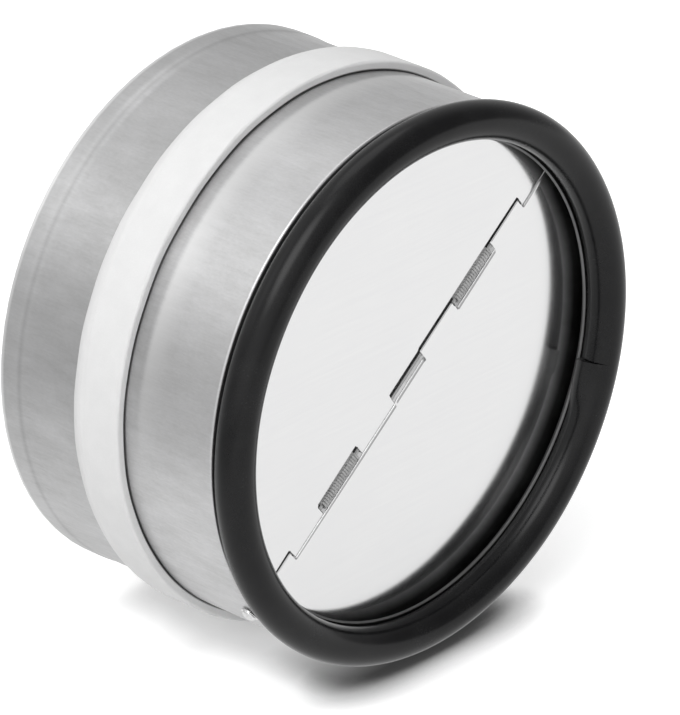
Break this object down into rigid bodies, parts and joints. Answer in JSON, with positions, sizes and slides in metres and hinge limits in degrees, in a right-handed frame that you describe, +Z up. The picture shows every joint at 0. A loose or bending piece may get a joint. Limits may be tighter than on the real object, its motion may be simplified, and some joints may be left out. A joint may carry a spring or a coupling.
{
  "type": "backdraft damper",
  "caption": "Round spring-loaded backdraft damper: short metal sleeve with half-round blades on a slanted axle, rubber end ring and white foam band.",
  "frame": {"origin": "on the duct's axis, halfway along the whole part", "axes": "+Y along the duct's axis with the air flow, from the rubber ring to the open rear end; +Z up"},
  "size_m": [0.1554, 0.087, 0.1554],
  "materials": {
    "sleeve_metal": "galvanised sheet with faint drawn streaks and blotches",
    "blade_metal": "bright flat sheet",
    "ring_rubber": "satin black extruded cord",
    "band_foam": "white closed-cell foam strip, matt",
    "rod_metal": "drawn rod",
    "cap_metal": "plated, bright",
    "spring_metal": "drawn spring wire"
  },
  "bodies": {
    "housing": {"sleeve": "sleeve_metal", "rubber_ring": "ring_rubber", "foam_band": "band_foam", "axle_rod": "rod_metal", "axle_cap_upper": "cap_metal", "axle_cap_lower": "cap_metal", "upper_spring": "spring_metal", "lower_spring": "spring_metal"},
    "upper_blade": {"upper_blade": "blade_metal"},
    "lower_blade": {"lower_blade": "blade_metal"}
  },
  "joints": [
    {"name": "upper_blade_swing", "type": "hinge", "parent": "housing", "child": "upper_blade", "pos_m": [0, -0.03003, 0], "axis": [-0.7771, 0, -0.6293], "range_deg": [0, 80], "stiffness_Nm_per_rad": 0.0035, "springref_deg": -85.94, "deforming": ["upper_spring", "lower_spring"]},
    {"name": "lower_blade_swing", "type": "hinge", "parent": "housing", "child": "lower_blade", "pos_m": [0, -0.03003, 0], "axis": [0.7771, 0, 0.6293], "range_deg": [0, 80], "stiffness_Nm_per_rad": 0.0035, "springref_deg": -85.94, "deforming": ["upper_spring", "lower_spring"]}
  ]
}
